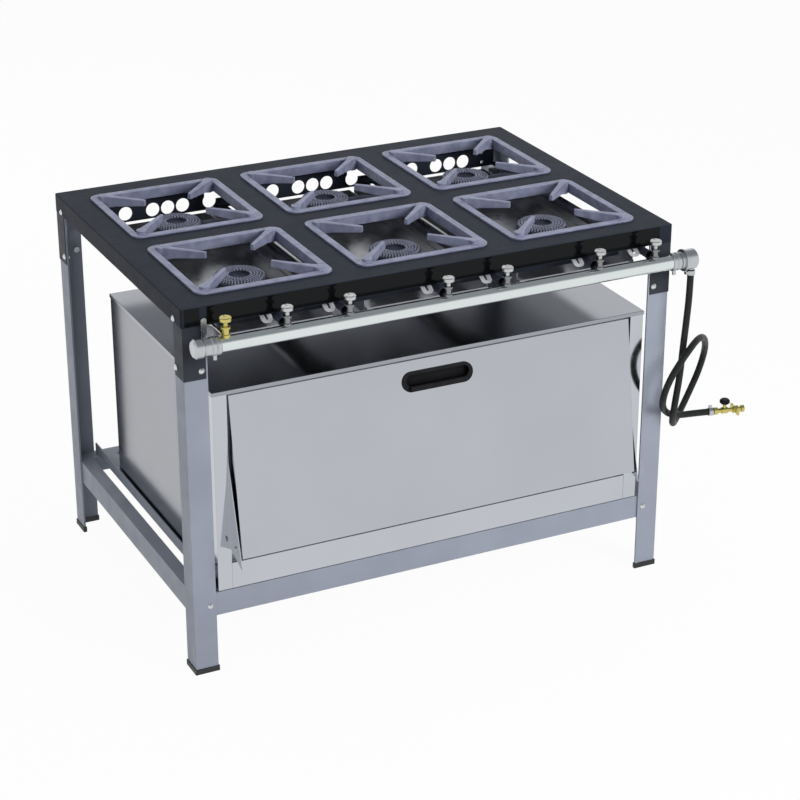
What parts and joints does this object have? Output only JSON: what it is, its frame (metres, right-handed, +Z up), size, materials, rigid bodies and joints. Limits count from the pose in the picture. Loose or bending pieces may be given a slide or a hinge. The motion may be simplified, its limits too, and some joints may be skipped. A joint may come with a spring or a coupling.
{
  "type": "industrial stove with oven",
  "caption": "Free-standing industrial gas stove: cast grates over burners in a folded black plate on angle legs, with a front gas manifold, drip trays, a stainless oven and a gas hose.",
  "frame": {"origin": "middle of the box around the stove, without the hose and its fittings, on the floor", "axes": "+X to the right seen from the front, +Y to the back, +Z up"},
  "size_m": [1.3415, 0.8572, 0.835],
  "materials": {
    "plate_enamel": "glossy black enamel",
    "frame_paint": "satin blue-grey paint",
    "foot_plastic": "matt black plastic",
    "bolt_chrome": "bright plating",
    "grate_iron": "grey cast iron",
    "burner_iron": "grey cast iron",
    "tray_sheet": "bright galvanised sheet",
    "manifold_chrome": "bright chrome",
    "shutter_chrome": "bright chrome",
    "knob_metal": "satin chrome",
    "knob_plastic": "glossy black plastic",
    "fitting_brass": "plain brass",
    "feed_metal": "drawn aluminium tube",
    "oven_steel": "polished stainless sheet",
    "oven_inside": "plain steel sheet",
    "hose_rubber": "black rubber"
  },
  "bodies": {
    "stove": {"top_plate": "plate_enamel", "corner_brackets": "plate_enamel", "support_panels": "plate_enamel", "leg_front_left": "frame_paint", "leg_front_right": "frame_paint", "leg_back_left": "frame_paint", "leg_back_right": "frame_paint", "rail_front": "frame_paint", "rail_back": "frame_paint", "rail_left": "frame_paint", "rail_right": "frame_paint", "oven_runners": "frame_paint", "foot_caps": "foot_plastic", "frame_bolts": "bolt_chrome", "grate_front_left": "grate_iron", "grate_front_middle": "grate_iron", "grate_front_right": "grate_iron", "grate_back_left": "grate_iron", "grate_back_middle": "grate_iron", "grate_back_right": "grate_iron", "front_burners": "burner_iron", "back_burners": "burner_iron", "oven_burner": "burner_iron", "tray_runners": "tray_sheet", "manifold_pipe": "manifold_chrome", "manifold_fittings": "manifold_chrome", "inlet_elbow": "manifold_chrome", "tap_bodies": "manifold_chrome", "hose_clamps": "manifold_chrome", "oven_tap_body": "fitting_brass", "supply_valve": "fitting_brass", "oven_feed_tube": "feed_metal", "oven_lid": "oven_steel", "oven_shell": "oven_steel", "oven_front_frame": "oven_steel", "oven_liner": "oven_inside", "oven_floor_plate": "oven_inside", "oven_rack": "oven_inside", "gas_hose": "hose_rubber"},
    "door": {"door_panel": "oven_steel", "door_liner": "oven_inside", "door_handle": "knob_plastic"},
    "tap_knob_front_left": {"tap_knob_front_left": "knob_metal"},
    "tap_knob_back_left": {"tap_knob_back_left": "knob_metal"},
    "tap_knob_front_middle": {"tap_knob_front_middle": "knob_metal"},
    "tap_knob_back_middle": {"tap_knob_back_middle": "knob_metal"},
    "tap_knob_front_right": {"tap_knob_front_right": "knob_metal"},
    "tap_knob_back_right": {"tap_knob_back_right": "knob_metal"},
    "oven_tap_knob": {"oven_tap_knob": "fitting_brass"},
    "air_shutter_front_left": {"air_shutter_front_left": "shutter_chrome"},
    "air_shutter_back_left": {"air_shutter_back_left": "shutter_chrome"},
    "air_shutter_front_middle": {"air_shutter_front_middle": "shutter_chrome"},
    "air_shutter_back_middle": {"air_shutter_back_middle": "shutter_chrome"},
    "air_shutter_front_right": {"air_shutter_front_right": "shutter_chrome"},
    "air_shutter_back_right": {"air_shutter_back_right": "shutter_chrome"},
    "drip_tray_left": {"drip_tray_left": "tray_sheet"},
    "drip_tray_middle": {"drip_tray_middle": "tray_sheet"},
    "drip_tray_right": {"drip_tray_right": "tray_sheet"},
    "supply_valve_knob": {"supply_valve_knob": "knob_plastic"},
    "wing_nut": {"wing_nut": "manifold_chrome"}
  },
  "joints": [
    {"name": "door_hinge", "type": "hinge", "parent": "stove", "child": "door", "pos_m": [0, -0.37742, 0.28884], "axis": [1, 0, 0], "range_deg": [0, 90]},
    {"name": "tap_knob_front_left_turn", "type": "hinge", "parent": "stove", "child": "tap_knob_front_left", "pos_m": [-0.357, -0.40275, 0.7945], "axis": [0, 0, 1], "range_deg": [0, 90]},
    {"name": "tap_knob_back_left_turn", "type": "hinge", "parent": "stove", "child": "tap_knob_back_left", "pos_m": [-0.2207, -0.40275, 0.7945], "axis": [0, 0, 1], "range_deg": [0, 90]},
    {"name": "tap_knob_front_middle_turn", "type": "hinge", "parent": "stove", "child": "tap_knob_front_middle", "pos_m": [0, -0.40275, 0.7945], "axis": [0, 0, 1], "range_deg": [0, 90]},
    {"name": "tap_knob_back_middle_turn", "type": "hinge", "parent": "stove", "child": "tap_knob_back_middle", "pos_m": [0.1363, -0.40275, 0.7945], "axis": [0, 0, 1], "range_deg": [0, 90]},
    {"name": "tap_knob_front_right_turn", "type": "hinge", "parent": "stove", "child": "tap_knob_front_right", "pos_m": [0.357, -0.40275, 0.7945], "axis": [0, 0, 1], "range_deg": [0, 90]},
    {"name": "tap_knob_back_right_turn", "type": "hinge", "parent": "stove", "child": "tap_knob_back_right", "pos_m": [0.4933, -0.40275, 0.7945], "axis": [0, 0, 1], "range_deg": [0, 90]},
    {"name": "oven_tap_knob_turn", "type": "hinge", "parent": "stove", "child": "oven_tap_knob", "pos_m": [-0.488, -0.40275, 0.7945], "axis": [0, 0, 1], "range_deg": [0, 90]},
    {"name": "air_shutter_front_left_slide", "type": "slide", "parent": "stove", "child": "air_shutter_front_left", "axis": [0, 0.866, 0.5], "range_m": [0, 0.015]},
    {"name": "air_shutter_back_left_slide", "type": "slide", "parent": "stove", "child": "air_shutter_back_left", "axis": [0, 0.866, 0.5], "range_m": [0, 0.015]},
    {"name": "air_shutter_front_middle_slide", "type": "slide", "parent": "stove", "child": "air_shutter_front_middle", "axis": [0, 0.866, 0.5], "range_m": [0, 0.015]},
    {"name": "air_shutter_back_middle_slide", "type": "slide", "parent": "stove", "child": "air_shutter_back_middle", "axis": [0, 0.866, 0.5], "range_m": [0, 0.015]},
    {"name": "air_shutter_front_right_slide", "type": "slide", "parent": "stove", "child": "air_shutter_front_right", "axis": [0, 0.866, 0.5], "range_m": [0, 0.015]},
    {"name": "air_shutter_back_right_slide", "type": "slide", "parent": "stove", "child": "air_shutter_back_right", "axis": [0, 0.866, 0.5], "range_m": [0, 0.015]},
    {"name": "drip_tray_left_slide", "type": "slide", "parent": "stove", "child": "drip_tray_left", "axis": [0, -1, 0], "range_m": [0, 0.5]},
    {"name": "drip_tray_middle_slide", "type": "slide", "parent": "stove", "child": "drip_tray_middle", "axis": [0, -1, 0], "range_m": [0, 0.5]},
    {"name": "drip_tray_right_slide", "type": "slide", "parent": "stove", "child": "drip_tray_right", "axis": [0, -1, 0], "range_m": [0, 0.5]},
    {"name": "supply_valve_turn", "type": "hinge", "parent": "stove", "child": "supply_valve_knob", "pos_m": [0.72735, -0.35751, 0.354], "axis": [0, 0, 1], "range_deg": [0, 90]},
    {"name": "wing_nut_turn", "type": "hinge", "parent": "stove", "child": "wing_nut", "pos_m": [0.75076, -0.36283, 0.354], "axis": [0.9751, -0.2216, 0], "continuous": true}
  ]
}
